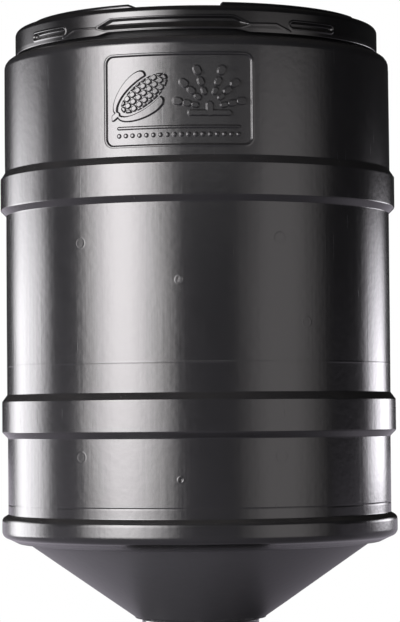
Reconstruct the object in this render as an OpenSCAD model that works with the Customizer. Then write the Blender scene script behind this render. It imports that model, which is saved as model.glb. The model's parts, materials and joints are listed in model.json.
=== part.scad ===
// Spin cast feeder: a barrel hopper with a screw-ring lid, hung over a battery-driven
// spinner unit. Millimetres, +Z up, origin on the axis at the lowest point of the spinner nut.

/* [Hopper] */
// Radius of the plain bands of the barrel
barrel_r = 254; // [252:0.5:256]
// How far the rolling hoops and the foot bead stand out
hoop_out = 7.5; // [5:0.5:8]
// Wall thickness of the moulding
wall = 4; // [3.5:0.25:4.5]
// Height of the shoulder, where the neck begins
shoulder_z = 961; // [958:0.5:964]
// Middle height of the upper rolling hoop
hoop_high_z = 782; // [770:1:800]
// Middle height of the lower rolling hoop
hoop_low_z = 489; // [480:1:510]
// Height of the flat ring under the foot bead, where the funnel begins
funnel_top_z = 320; // [319:1:321]
// Height of the lip under the funnel
lip_z = 222; // [221:0.5:223]
// Diameter of the drill-point dimples for leg brackets
dimple_d = 6.8; // [5:0.2:9]

/* [Lid] */
// Outer radius of the screw ring
ring_r = 240; // [239:0.5:243]
// Number of turning lugs, and of slots
lugs = 4; // [3:1:5]
// Number of grip recesses
grips = 2; // [1:1:2]
// Height of the turning lugs
lug_h = 5.4; // [3:0.2:7]

/* [Throat] */
// Outer radius of the throat collar
collar_r = 77.4; // [77:0.1:78]
// Radius of the circle of the flange screws
flange_screw_r = 89; // [88:0.5:90]

/* [Spinner unit] */
// Side of the square housing
unit_w = 236; // [234:1:244]
// Radius of the housing's upright corners
unit_corner_r = 28; // [26:1:30]
// Wall thickness of the housing
unit_wall = 3.5; // [3:0.25:4]
// Radius of the spinner plate
plate_r = 92; // [80:1:100]
// Number of vanes on the spinner plate
vanes = 6; // [4:1:8]
// Radius of the motor shaft
shaft_r = 3; // [2.5:0.1:3]

/* [Doors] */
// Width of each door
door_w = 172; // [168:1:172]
// Height of each door
door_h = 102; // [98:1:102]

/* [Battery] */
// Width of the battery
battery_w = 100; // [90:1:100]
// Depth of the battery
battery_d = 47; // [40:1:47]
// Height of the battery
battery_h = 70; // [60:1:70]

/* [Hidden] */
$fn = 96;
eps = 0.5;
BLACK = "#26262a";
STEEL = "silver";
GAP = 0.1;

// Barrel heights and radii
neck_r = 229;
neck_top_z = 988;
shoulder_r = 13;
hoop_r = barrel_r + hoop_out;
hoop_h = 58;
hoop_flat_h = 39;
bead_top_z = 360.5;
funnel_r = 223;
lip_r = 86;
spout_r = 72;
spout_bottom_z = 180;
lip_edge = [lip_r + 1.5, lip_z + 2.5];
funnel_slope = (funnel_top_z - lip_edge[1]) / (funnel_r - lip_edge[0]);
funnel_wall_z = 6.5;
foot_out_r = 241;
dimple_z = 409.3;
dimple_depth = 1.5;
dimple_angles = [-90, 30, 150];
badge_z = 879.4;
badge_h = 111.6;
badge_half_angle = 21;
badge_depth = 1.5;
badge_corner = 8;

// Lid heights
ring_bottom_z = 964.8;
ring_top_z = 999.3;
ring_in_r = 232.3;
ring_plate_t = 5.5;
ring_open_r = 204;
disc_r = 231;
disc_flange_z = 990.3;
disc_flange_t = 3.2;
disc_step_r = 201;
disc_top_z = 1000;
grip_low_z = 970.8;
grip_h = 11.8;
grip_depth = 4.5;
grip_half_angle = 22;
slot_z = 977;
slot_h = 8;
slot_half_angle = 7.9;
slot_depth = 3.5;
ring_clock = -1.8;
lug_half_angle = 31.2;
lug_in_r = 208;
lug_out_r = 221;
lug_ramp = 15;

// Throat and unit heights
seal_t = 2.2;
collar_in_r = 72.6;
collar_top_z = lip_z - seal_t;
flange_top_z = 172;
unit_top_z = 166;
flange_r = 98;
collar_bolt_z = 194;
bolt_angles = [45, 135, 225, 315];
unit_plate_t = 4.5;
unit_bottom_z = 46;
pan_t = 4;
pan_bottom_z = unit_bottom_z - pan_t;
post_xy = 96;
chute_top_r = 68;
chute_out_r = 52;
chute_wall = 3;
chute_cone_z = 110;
chute_flange_t = 4;
chute_top_z = unit_top_z - unit_plate_t;

// Motor and spinner
bracket_h = 7;
bracket_bottom_z = pan_bottom_z - bracket_h;
arm_w = 16;
arm_end_r = 84;
arm_screw_r = 63;
arm_angles = [30, 150, 270];
lead_x = 4.6;
lead_r = 1.4;
lead_hole_r = 1.8;
lead_pod_r = 19.5;
lead_pan_r = 76;
cover_r = 23.5;
motor_r = 18.5;
motor_top_z = 96;
bush_r = 6;
plate_z = 12;
plate_t = 1.6;
vane_h = 10;
vane_in_r = 36;
vane_out_r = plate_r - 5;

// Doors. The front door is drawn, and the rear one is the same door turned half round.
face_y = -unit_w / 2;
door_z = 106;
door_gap = 2;
door_t = 5;
open_w = 144;
open_h = 80;
hinge_x = -door_w / 2 - 5;
hinge_y = face_y - 6;
knuckle_r = 4.5;
pin_r = 2;
knuckle_z = [62, 78, 134, 150];
latch_x = 62;
latch_r = 4;
cam_reach = 15;
cam_w = 8;
cam_t = 3;
cam_y = face_y + unit_wall + 1;

// Control panel
panel_y = -108;
panel_t = 3;
panel_w = 156;
panel_h = 92;
board_y = -96;
board_t = 1.6;
button_x = [-48, -22, 4, 30];
button_z = 90;
button_r = 6;
lcd_x = -24;
lcd_z = 126;
lcd_w = 50;
lcd_h = 24;
led_x = 6;
rocker_x = 34;
rocker_w = 19;
rocker_h = 13;
rocker_tilt = 12;
rocker_y = panel_y + 4.5;
rocker_slot_h = rocker_h + 4;
rocker_pin_r = 1.2;
switch_w = rocker_w + 6;
boss_x = 76;
boss_dz = 44;
standoff_x = 56;
standoff_dz = 34;

// Battery
tray_top_z = 58;
tray_t = 2.5;
battery_y = 85.5;
terminal_x = 30;
jack_y = -62;
jack_z = 86;

// A ring of profile points on an arc, from angle a0 to a1
function arc(cx, cy, r, a0, a1, n) = [
    for (i = [0:n]) let (a = a0 + (a1 - a0) * i / n) [cx + r * cos(a), cy + r * sin(a)]
];
function backwards(list) = [for (i = [len(list) - 1:-1:0]) list[i]];
// One rolling hoop's corners, from the top down, for a band of radius r
function hoop(z, r) = [
    [r, z + hoop_h / 2], [r + hoop_out, z + hoop_flat_h / 2],
    [r + hoop_out, z - hoop_flat_h / 2], [r, z - hoop_h / 2]
];
// A 2D point on a circle, as [x, y, z]
function polar(r, a, z) = [r * cos(a), r * sin(a), z];

// Tube between two radii
module tube(r_out, r_in, z0, z1) {
    translate([0, 0, z0]) difference() {
        cylinder(r = r_out, h = z1 - z0);
        translate([0, 0, -eps]) cylinder(r = r_in, h = z1 - z0 + 2 * eps);
    }
}

// Upright rod
module rod(r, z0, z1) {
    translate([0, 0, z0]) cylinder(r = r, h = z1 - z0);
}

module rounded_rect(w, h, r) {
    square([w - 2 * r, h], center = true);
    square([w, h - 2 * r], center = true);
    for (x = [-1, 1], y = [-1, 1]) translate([x * (w / 2 - r), y * (h / 2 - r)]) circle(r);
}

// Draws its children on an upright plane: their x is x, their y is z, and they rise towards -Y from y
module facing_front(y) {
    translate([0, y, 0]) rotate([90, 0, 0]) children();
}

// Rod along -Y from y0 forwards to y1
module front_rod(x, z, r, y0, y1) {
    facing_front(y0) translate([x, z, 0]) cylinder(r = r, h = y0 - y1);
}

// Rod along a radius of the axis, at angle a and height z
module radial_rod(a, z, r, from, to) {
    rotate([0, 0, a]) translate([from, 0, z]) rotate([0, 90, 0]) cylinder(r = r, h = to - from);
}

// Round cable through a list of points
module cable(points, r) {
    for (i = [0:len(points) - 2]) hull() {
        translate(points[i]) sphere(r, $fn = 10);
        translate(points[i + 1]) sphere(r, $fn = 10);
    }
}

// Hopper

function barrel_outside() = concat(
    [[neck_r, neck_top_z], [neck_r, shoulder_z]],
    arc(barrel_r - shoulder_r, shoulder_z - shoulder_r, shoulder_r, 90, 0, 8),
    hoop(hoop_high_z, barrel_r),
    hoop(hoop_low_z, barrel_r),
    [[barrel_r, bead_top_z]],
    arc(hoop_r - 9, bead_top_z - 9.5, 9, 75, 0, 6),
    arc(hoop_r - 14, bead_top_z - 20.5, 14, 0, -75, 8),
    [[foot_out_r, funnel_top_z], [funnel_r, funnel_top_z], lip_edge, [lip_r, lip_z]],
    [[spout_r, lip_z], [spout_r, spout_bottom_z]]
);
function barrel_inside() = concat(
    [[neck_r - wall, neck_top_z], [neck_r - wall, shoulder_z - wall]],
    arc(barrel_r - shoulder_r, shoulder_z - shoulder_r, shoulder_r - wall, 90, 0, 8),
    hoop(hoop_high_z, barrel_r - wall),
    hoop(hoop_low_z, barrel_r - wall),
    [[barrel_r - wall, bead_top_z - 2]],
    arc(hoop_r - 9, bead_top_z - 9.5, 9 - wall, 75, 0, 4),
    arc(hoop_r - 14, bead_top_z - 20.5, 14 - wall, 0, -75, 6),
    [[funnel_r - 1, funnel_top_z + funnel_wall_z - funnel_slope]],
    [[lip_r + 10, lip_edge[1] + funnel_wall_z + funnel_slope * (lip_r + 10 - lip_edge[0])]],
    [[spout_r - wall, lip_z + wall], [spout_r - wall, spout_bottom_z]]
);

module hopper_barrel() {
    badge_w = 2 * barrel_r * sin(badge_half_angle);
    color(BLACK) difference() {
        rotate_extrude() polygon(concat(barrel_outside(), backwards(barrel_inside())));
        intersection() {
            tube(barrel_r + 5, barrel_r - badge_depth, badge_z - badge_h, badge_z + badge_h);
            facing_front(-barrel_r / 2) linear_extrude(barrel_r)
                translate([0, badge_z]) rounded_rect(badge_w, badge_h, badge_corner);
        }
        for (a = dimple_angles)
            radial_rod(a, dimple_z, dimple_d / 2, barrel_r - dimple_depth, barrel_r + 20);
        for (a = bolt_angles) radial_rod(a, collar_bolt_z, 3.3, spout_r - 10, spout_r + 5);
    }
}

// Lid

module lid_ring() {
    color(BLACK) {
        difference() {
            rotate_extrude() polygon(concat(
                [[ring_in_r, ring_bottom_z], [ring_r, ring_bottom_z]],
                arc(ring_r - 8, ring_top_z - 8, 8, 0, 90, 6),
                [[ring_open_r, ring_top_z], [ring_open_r, ring_top_z - ring_plate_t],
                 [ring_in_r, ring_top_z - ring_plate_t]]
            ));
            for (i = [0:grips - 1]) rotate([0, 0, ring_clock - 90 + i * 360 / grips]) grip_recess();
            for (i = [0:lugs - 1]) rotate([0, 0, ring_clock - 90 + (i + 0.5) * 360 / lugs]) grip_slot();
        }
        for (i = [0:lugs - 1]) rotate([0, 0, -90 + (i + 0.5) * 360 / lugs]) turning_lug();
    }
}

module grip_recess() {
    rotate([0, 0, -grip_half_angle]) rotate_extrude(angle = 2 * grip_half_angle)
        translate([ring_r - grip_depth, grip_low_z]) square([grip_depth + 2, grip_h]);
}

module grip_slot() {
    rotate([0, 0, -slot_half_angle]) rotate_extrude(angle = 2 * slot_half_angle)
        translate([ring_r - slot_depth, slot_z - slot_h / 2]) square([slot_depth + 2, slot_h]);
    for (a = [-slot_half_angle, slot_half_angle])
        radial_rod(a, slot_z, slot_h / 2, ring_r - slot_depth, ring_r + 2);
}

// A turning lug is steep at its first end, to push against, and ramps down at its other end
module turning_lug() {
    difference() {
        rotate([0, 0, -lug_half_angle]) rotate_extrude(angle = 2 * lug_half_angle)
            translate([lug_in_r, ring_top_z - 1]) square([lug_out_r - lug_in_r, lug_h + 1]);
        rotate([0, 0, lug_half_angle]) translate([lug_in_r - 5, 0, ring_top_z])
            rotate([-atan(lug_h / lug_ramp), 0, 0]) translate([0, -30, 0]) cube([40, 40, 20]);
    }
}

module lid_disc() {
    flange_top = disc_flange_z + disc_flange_t;
    color(BLACK) {
        rotate_extrude() polygon([
            [0, disc_top_z], [150, disc_top_z], [152, disc_top_z + 2], [160, disc_top_z + 2],
            [162, disc_top_z], [disc_step_r - 3, disc_top_z], [disc_step_r, disc_top_z - 3],
            [disc_step_r, flange_top], [disc_r, flange_top], [disc_r, disc_flange_z],
            [disc_step_r - 4, disc_flange_z], [disc_step_r - 4, disc_top_z - 3],
            [0, disc_top_z - 3]
        ]);
        for (i = [0:7]) rotate([0, 0, i * 45 + 22.5])
            translate([40, -3, disc_top_z - 1]) cube([111, 6, 3]);
        tube(46, 34, disc_top_z - 1, disc_top_z + 2);
    }
}

module lid_gasket() {
    color("#101010") tube(neck_r + 1.5, neck_r - wall - 2, neck_top_z, disc_flange_z);
}

// Throat

module throat_seal() {
    color("#101010") tube(collar_r - 0.2, spout_r + 0.3, collar_top_z, lip_z);
}

module throat_collar() {
    color(BLACK) difference() {
        union() {
            tube(collar_r, collar_in_r, unit_top_z, collar_top_z);
            tube(flange_r, collar_in_r, unit_top_z, flange_top_z);
            for (a = [0:90:270]) rotate([0, 0, a]) translate([0, 3, 0]) rotate([90, 0, 0])
                linear_extrude(6) polygon([
                    [collar_r - 1, flange_top_z - 1], [flange_r - 3, flange_top_z - 1],
                    [flange_r - 3, flange_top_z + 2], [collar_r, flange_top_z + 24],
                    [collar_r - 1, flange_top_z + 24]
                ]);
        }
        for (a = bolt_angles) {
            radial_rod(a, collar_bolt_z, 3.3, collar_in_r - 5, collar_r + 5);
            translate(polar(flange_screw_r, a, 0)) rod(2.7, unit_top_z - 1, flange_top_z + 1);
        }
    }
}

module collar_bolts() {
    color(STEEL) for (a = bolt_angles) {
        rotate([0, 0, a]) translate([collar_r, 0, collar_bolt_z]) rotate([0, 90, 0])
            cylinder(r = 5.77, h = 4, $fn = 6);
        radial_rod(a, collar_bolt_z, 3, spout_r - wall - 8, collar_r + 1);
    }
}

module collar_nuts() {
    nut_r = spout_r - wall - 0.3;
    color(STEEL) for (a = bolt_angles) difference() {
        rotate([0, 0, a]) translate([nut_r - 5, 0, collar_bolt_z]) rotate([0, 90, 0])
            cylinder(r = 5.77, h = 5, $fn = 6);
        radial_rod(a, collar_bolt_z, 3, nut_r - 6, nut_r + 1);
    }
}

// Spinner unit

module unit_plan(inset) {
    rounded_rect(unit_w - 2 * inset, unit_w - 2 * inset, unit_corner_r - inset);
}

module unit_housing() {
    color(BLACK) difference() {
        union() {
            difference() {
                translate([0, 0, unit_bottom_z]) linear_extrude(unit_top_z - unit_bottom_z)
                    unit_plan(0);
                translate([0, 0, unit_bottom_z - 1])
                    linear_extrude(chute_top_z - unit_bottom_z + 1) unit_plan(unit_wall);
            }
            for (x = [-1, 1], y = [-1, 1]) translate([x * post_xy, y * post_xy, 0])
                rod(7, unit_bottom_z, chute_top_z + 1);
            for (a = [0, 180]) rotate([0, 0, a]) hinge_knuckles();
            for (x = [-1, 1], z = [-1, 1])
                front_rod(x * boss_x, door_z + z * boss_dz, 3.5, panel_y, face_y + 1);
        }
        rod(70, chute_top_z - 1, unit_top_z + 1);
        for (a = bolt_angles)
            translate(polar(flange_screw_r, a, 0)) rod(2.7, chute_top_z - 1, unit_top_z + 1);
        for (x = [-1, 1], y = [-1, 1]) translate([x * post_xy, y * post_xy, 0])
            rod(1.8, unit_bottom_z - 1, unit_bottom_z + 18);
        for (a = [0, 180]) rotate([0, 0, a]) door_opening();
        for (x = [-1, 1], z = [-1, 1])
            front_rod(x * boss_x, door_z + z * boss_dz, 1.3, panel_y + 1, panel_y - 6);
        translate([unit_w / 2 - 10, jack_y, jack_z]) rotate([0, 90, 0]) cylinder(r = 5.6, h = 20);
    }
}

// The housing's half of a door hinge
module hinge_knuckles() {
    for (z = [knuckle_z[0], knuckle_z[2] + 1]) difference() {
        union() {
            translate([hinge_x, hinge_y, 0]) rod(knuckle_r, z, z + 15);
            translate([hinge_x - knuckle_r, hinge_y, z]) cube([2 * knuckle_r, 8, 15]);
        }
        translate([hinge_x, hinge_y, 0]) rod(pin_r, z - 1, z + 16);
    }
}

// The opening behind a door, with the notch that lets the latch cam in
module door_opening() {
    facing_front(face_y + unit_wall + 1) translate([0, door_z, 0]) {
        linear_extrude(unit_wall + 2) rounded_rect(open_w, open_h, 6);
        translate([0, -cam_w / 2 - 1, 0])
            cube([latch_x + cam_reach + 2, cam_w + 2, unit_wall + 2]);
    }
}

module flange_screws() {
    color(STEEL) for (a = bolt_angles) translate(polar(flange_screw_r, a, 0)) {
        rod(4.5, flange_top_z, flange_top_z + 3.5);
        rod(2.5, chute_top_z - chute_flange_t - 6, flange_top_z + 1);
    }
}

module flange_nuts() {
    nut_z = chute_top_z - chute_flange_t;
    color(STEEL) for (a = bolt_angles) translate(polar(flange_screw_r, a, 0)) difference() {
        translate([0, 0, nut_z - 4]) cylinder(r = 4.62, h = 4, $fn = 6);
        rod(2.5, nut_z - 5, nut_z + 1);
    }
}

module feed_chute() {
    color("#3a3a3d") difference() {
        rotate_extrude() polygon([
            [chute_top_r, chute_top_z], [flange_r - 1, chute_top_z],
            [flange_r - 1, chute_top_z - chute_flange_t],
            [chute_top_r + chute_wall, chute_top_z - chute_flange_t],
            [chute_out_r + chute_wall, chute_cone_z], [chute_out_r + chute_wall, pan_bottom_z],
            [chute_out_r, pan_bottom_z], [chute_out_r, chute_cone_z]
        ]);
        for (a = bolt_angles) translate(polar(flange_screw_r, a, 0))
            rod(2.7, chute_top_z - chute_flange_t - 1, chute_top_z + 1);
    }
}

module base_pan() {
    lip_inset = unit_wall + 0.2;
    color(BLACK) difference() {
        union() {
            translate([0, 0, pan_bottom_z]) linear_extrude(pan_t) unit_plan(0);
            translate([0, 0, unit_bottom_z - 1]) linear_extrude(7) difference() {
                unit_plan(lip_inset);
                unit_plan(lip_inset + 3);
            }
            for (a = arm_angles) translate(polar(arm_screw_r, a, 0))
                rod(6, unit_bottom_z - 1, unit_bottom_z + 7);
        }
        rod(chute_out_r + chute_wall + 0.2, pan_bottom_z - 1, unit_bottom_z + 8);
        for (a = arm_angles) translate(polar(arm_screw_r, a, 0))
            rod(1.8, pan_bottom_z - 1, unit_bottom_z + 5);
        for (x = [-1, 1], y = [-1, 1]) translate([x * post_xy, y * post_xy, 0])
            rod(2.3, pan_bottom_z - 1, unit_bottom_z + 1);
        for (p = tray_foot_points()) translate(p) rod(1.5, pan_bottom_z - 1, unit_bottom_z + 1);
        translate([lead_x, -lead_pan_r, 0]) rod(4, pan_bottom_z - 1, unit_bottom_z + 1);
    }
}

module pan_screws() {
    color(STEEL) for (x = [-1, 1], y = [-1, 1]) translate([x * post_xy, y * post_xy, 0]) {
        rod(4, pan_bottom_z - 2.5, pan_bottom_z);
        rod(1.75, pan_bottom_z - 1, unit_bottom_z + 14);
    }
}

// Motor and spinner

module motor_bracket() {
    color(BLACK) difference() {
        union() {
            rod(cover_r + 0.5, bracket_bottom_z, pan_bottom_z);
            for (a = arm_angles) rotate([0, 0, a]) translate([bush_r + 4, -arm_w / 2, bracket_bottom_z])
                cube([arm_end_r - bush_r - 4, arm_w, bracket_h]);
        }
        rod(bush_r, bracket_bottom_z - 1, pan_bottom_z + 1);
        for (a = arm_angles) translate(polar(arm_screw_r, a, 0))
            rod(2.1, bracket_bottom_z - 1, pan_bottom_z + 1);
        front_rod(lead_x, bracket_bottom_z + 3.5, lead_hole_r, -lead_pod_r + 2, -lead_pan_r - 2);
        for (y = [-lead_pod_r, -lead_pan_r]) translate([lead_x, y, 0])
            rod(lead_hole_r, bracket_bottom_z + 3.5, pan_bottom_z + 1);
    }
}

module bracket_screws() {
    color(STEEL) for (a = arm_angles) translate(polar(arm_screw_r, a, 0)) {
        rod(3.8, bracket_bottom_z - 2.5, bracket_bottom_z);
        rod(1.75, bracket_bottom_z - 1, unit_bottom_z + 3);
    }
}

module motor_cover() {
    color(BLACK) rotate_extrude() polygon([
        [cover_r, pan_bottom_z], [cover_r, 108], [3, 122], [0, 122],
        [0, 119.5], [2, 119.5], [cover_r - 2, 107], [cover_r - 2, pan_bottom_z]
    ]);
}

module motor_can() {
    color(STEEL) difference() {
        union() {
            rod(motor_r, pan_bottom_z, motor_top_z);
            rod(6, motor_top_z - 1, motor_top_z + 4);
        }
        rod(shaft_r + 0.05, pan_bottom_z - 1, 60.5);
    }
}

module shaft_bush() {
    color("goldenrod") {
        tube(bush_r, shaft_r + 0.05, bracket_bottom_z, pan_bottom_z);
        tube(bush_r + 2, shaft_r + 0.05, bracket_bottom_z - 1.5, bracket_bottom_z);
    }
}

module motor_shaft() {
    color(STEEL) rod(shaft_r, 5, 60);
}

module spinner_hub() {
    top_z = plate_z + plate_t;
    color(STEEL) difference() {
        union() {
            rod(18, top_z, top_z + 3);
            rod(12, top_z, top_z + 14);
        }
        rod(shaft_r, top_z - 1, top_z + 15);
        radial_rod(0, top_z + 8.5, 2, 0, 14);
    }
}

module hub_set_screw() {
    color("#303030") radial_rod(0, plate_z + plate_t + 8.5, 2, shaft_r, 11.5);
}

module spinner_plate() {
    color(STEEL) difference() {
        union() {
            rod(plate_r, plate_z, plate_z + plate_t);
            for (i = [0:vanes - 1]) rotate([0, 0, i * 360 / vanes])
                translate([vane_in_r, 0, plate_z]) cube([vane_out_r - vane_in_r, plate_t, vane_h]);
        }
        rod(shaft_r, plate_z - 1, plate_z + plate_t + 1);
        for (i = [0:vanes - 1]) rotate([0, 0, i * 360 / vanes])
            translate([vane_in_r, plate_t, plate_z - 1])
                cube([vane_out_r - vane_in_r, vane_h - 2, plate_t + 2]);
    }
}

module plate_washer() {
    color(STEEL) tube(9, shaft_r, plate_z - 1.2, plate_z);
}

module plate_nut() {
    nut_top_z = plate_z - 1.2;
    dome_r = 4.7;
    color(STEEL) difference() {
        union() {
            translate([0, 0, dome_r]) cylinder(r = 5.77, h = nut_top_z - dome_r, $fn = 6);
            translate([0, 0, dome_r]) sphere(dome_r);
        }
        rod(shaft_r, 4.9, nut_top_z + 1);
    }
}

// Control panel

module control_panel() {
    color("#4a4d50") difference() {
        union() {
            facing_front(panel_y + panel_t) linear_extrude(panel_t)
                translate([0, door_z]) rounded_rect(panel_w, panel_h, 5);
            for (x = [-1, 1], z = [-1, 1])
                front_rod(x * standoff_x, door_z + z * standoff_dz, 4, board_y, panel_y + 1);
        }
        facing_front(panel_y + panel_t + 1) linear_extrude(panel_t + 2) {
            translate([lcd_x, lcd_z]) square([lcd_w, lcd_h], center = true);
            translate([rocker_x, lcd_z]) square([rocker_w + 2, rocker_slot_h], center = true);
        }
        for (x = button_x) front_rod(x, button_z, button_r + 0.3, panel_y + 8, panel_y - 1);
        front_rod(led_x, lcd_z, 2.6, panel_y + 8, panel_y - 1);
        for (x = [-1, 1], z = [-1, 1]) {
            front_rod(x * boss_x, door_z + z * boss_dz, 1.7, panel_y + 8, panel_y - 1);
            front_rod(x * standoff_x, door_z + z * standoff_dz, 1.2, board_y + 1, board_y - 8);
        }
    }
}

module panel_screws() {
    color(STEEL) for (x = [-1, 1], z = [-1, 1]) {
        front_rod(x * boss_x, door_z + z * boss_dz, 2.8, panel_y + panel_t + 2, panel_y + panel_t);
        front_rod(x * boss_x, door_z + z * boss_dz, 1.25, panel_y + panel_t + 1, panel_y - 4);
    }
}

module lcd_screen() {
    color("#9aa58c") facing_front(panel_y + panel_t + 4) linear_extrude(4)
        translate([lcd_x, lcd_z]) square([lcd_w + 4, lcd_h + 4], center = true);
}

module lcd_lens() {
    color("#cfe0e8") facing_front(panel_y + panel_t) linear_extrude(panel_t - GAP)
        translate([lcd_x, lcd_z]) square([lcd_w - 0.4, lcd_h - 0.4], center = true);
}

module status_led() {
    color("#c02018") {
        front_rod(led_x, lcd_z, 2.5, board_y, panel_y);
        facing_front(panel_y) translate([led_x, lcd_z, 0]) sphere(2.5);
    }
}

module timer_board() {
    color("darkgreen") difference() {
        union() {
            facing_front(board_y + board_t) linear_extrude(board_t)
                translate([0, door_z]) square([124, 78], center = true);
            for (chip = [[-40, 96, 18, 12], [-8, 112, 14, 14], [24, 98, 20, 8], [44, 118, 10, 16]])
                facing_front(board_y + board_t + 3) linear_extrude(3.5)
                    translate([chip[0], chip[1]]) square([chip[2], chip[3]], center = true);
        }
        for (x = [-1, 1], z = [-1, 1])
            front_rod(x * standoff_x, door_z + z * standoff_dz, 1.6, board_y + 8, board_y - 1);
    }
}

module board_screws() {
    color(STEEL) for (x = [-1, 1], z = [-1, 1]) {
        front_rod(x * standoff_x, door_z + z * standoff_dz, 2.6, board_y + board_t + 1.8, board_y + board_t);
        front_rod(x * standoff_x, door_z + z * standoff_dz, 1.15, board_y + board_t + 1, board_y - 5);
    }
}

// A push button: the cap passes through the panel, and its stem stops short of the board
module push_button(i, tint) {
    back_y = panel_y + panel_t;
    color(tint) {
        front_rod(button_x[i], button_z, button_r, back_y + 1, panel_y - 2.5);
        front_rod(button_x[i], button_z, button_r + 1.5, back_y + GAP + 1.5, back_y + GAP);
        front_rod(button_x[i], button_z, 2, board_y - 1.4, back_y + 1);
    }
}
module button_menu() { push_button(0, "#8a8d90"); }
module button_minus() { push_button(1, "#8a8d90"); }
module button_plus() { push_button(2, "#8a8d90"); }
module button_test() { push_button(3, "#b03a2a"); }

module switch_frame() {
    front_y = panel_y + panel_t;
    color("#2c2d30") difference() {
        facing_front(front_y + 8) linear_extrude(8) translate([rocker_x, lcd_z])
            square([switch_w, rocker_slot_h + 4], center = true);
        facing_front(front_y + 5) linear_extrude(6) translate([rocker_x, lcd_z])
            square([rocker_w + 2, rocker_slot_h], center = true);
        translate([rocker_x - switch_w / 2 - 1, rocker_y, lcd_z]) rotate([0, 90, 0])
            cylinder(r = rocker_pin_r + 0.08, h = switch_w + 2);
    }
}

module power_rocker() {
    pin_w = switch_w - 1;
    color("#b03a2a") translate([rocker_x, rocker_y, lcd_z]) rotate([rocker_tilt, 0, 0]) {
        translate([-rocker_w / 2, 0, 0]) rotate([90, 0, 90]) linear_extrude(rocker_w) polygon([
            [2.5, -4], [-5.5, -6.5], [-7.5, -6.5], [-6.2, 0], [-7.5, 6.5], [-5.5, 6.5], [2.5, 4]
        ]);
        translate([-pin_w / 2, 0, 0]) rotate([0, 90, 0]) cylinder(r = rocker_pin_r, h = pin_w);
    }
}

// Power

module battery() {
    color("#3c4046") difference() {
        translate([-battery_w / 2, battery_y - battery_d / 2, tray_top_z])
            cube([battery_w, battery_d, battery_h]);
        translate([-battery_w / 2 - 1, battery_y - battery_d / 2 - 1, tray_top_z + battery_h - 5])
            difference() {
                cube([battery_w + 2, battery_d + 2, 1]);
                translate([1.6, 1.6, -1]) cube([battery_w - 1.2, battery_d - 1.2, 3]);
            }
    }
}

module battery_terminals() {
    top_z = tray_top_z + battery_h;
    color(STEEL) for (x = [-1, 1]) translate([x * terminal_x, battery_y, top_z]) {
        translate([-4, -4, 0]) cube([8, 8, 1]);
        translate([-3.15, -0.4, 0]) cube([6.3, 0.8, 7]);
    }
}

function tray_foot_points() = [for (x = [-1, 1], y = [-1, 1]) [x * 60, battery_y + y * 18, 0]];

module battery_tray() {
    half_w = battery_w / 2 + 2;
    depth = battery_d + 4;
    color("#77797c") difference() {
        translate([0, battery_y + depth / 2, 0]) rotate([90, 0, 0]) linear_extrude(depth) {
            translate([-half_w, tray_top_z - tray_t]) square([2 * half_w, tray_t]);
            for (side = [-1, 1]) scale([side, 1]) {
                translate([half_w - tray_t + 2, unit_bottom_z]) square([tray_t, tray_top_z - unit_bottom_z + 8]);
                translate([half_w, unit_bottom_z]) square([14, tray_t]);
            }
        }
        for (p = tray_foot_points()) translate(p) rod(1.8, unit_bottom_z - 1, unit_bottom_z + 4);
    }
}

module tray_screws() {
    color(STEEL) for (p = tray_foot_points()) translate(p) {
        rod(3, unit_bottom_z + tray_t, unit_bottom_z + tray_t + 2);
        rod(1.45, pan_bottom_z + 0.5, unit_bottom_z + tray_t + 1);
    }
}

// A battery lead, from a terminal round the chute to the board. side is -1 or 1.
module battery_lead(side) {
    lead_z = 148;
    round_r = 80;
    top_z = tray_top_z + battery_h;
    round = [for (a = [64:-14:-62]) [side * round_r * cos(a), round_r * sin(a), lead_z]];
    cable(concat(
        [[side * terminal_x, battery_y, top_z + 9], [side * (terminal_x + 2), battery_y - 5, lead_z]],
        round,
        [[side * 40, -86, 142], [side * 40, board_y + board_t + 1.7, 136]]
    ), 1.6);
    translate([side * terminal_x, battery_y, 0]) difference() {
        translate([-4.2, -2, top_z + 2]) cube([8.4, 4, 8]);
        translate([-3.3, -0.5, top_z + 1]) cube([6.6, 1, 7]);
    }
}
module battery_lead_red() { color("#a01818") battery_lead(-1); }
module battery_lead_black() { color("#161616") battery_lead(1); }

module motor_lead() {
    low_z = bracket_bottom_z + 3.5;
    color("#a01818") cable([
        [lead_x, -4, motor_top_z + 6], [lead_x, -lead_pod_r, motor_top_z + 3],
        [lead_x, -lead_pod_r, low_z], [lead_x, -lead_pan_r, low_z], [lead_x, -lead_pan_r, 62],
        [lead_x + 2, -84, 74], [lead_x + 4, board_y + board_t + 1.5, 78]
    ], lead_r);
}

module wire_grommet() {
    color("#101010") translate([lead_x, -lead_pan_r, 0]) {
        tube(4, lead_hole_r, pan_bottom_z, unit_bottom_z);
        tube(6, lead_hole_r, unit_bottom_z, unit_bottom_z + 2);
    }
}

module charge_jack() {
    color(STEEL) translate([unit_w / 2, jack_y, jack_z]) rotate([0, 90, 0]) difference() {
        union() {
            rod(5.5, -12, 1);
            rod(8, 0, 2);
        }
        rod(2.75, -8, 3);
    }
}

module jack_nut() {
    color(STEEL) translate([unit_w / 2 - unit_wall - 3, jack_y, jack_z]) rotate([0, 90, 0]) difference() {
        cylinder(r = 8.1, h = 3, $fn = 6);
        rod(5.5, -1, 4);
    }
}

// Doors

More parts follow.
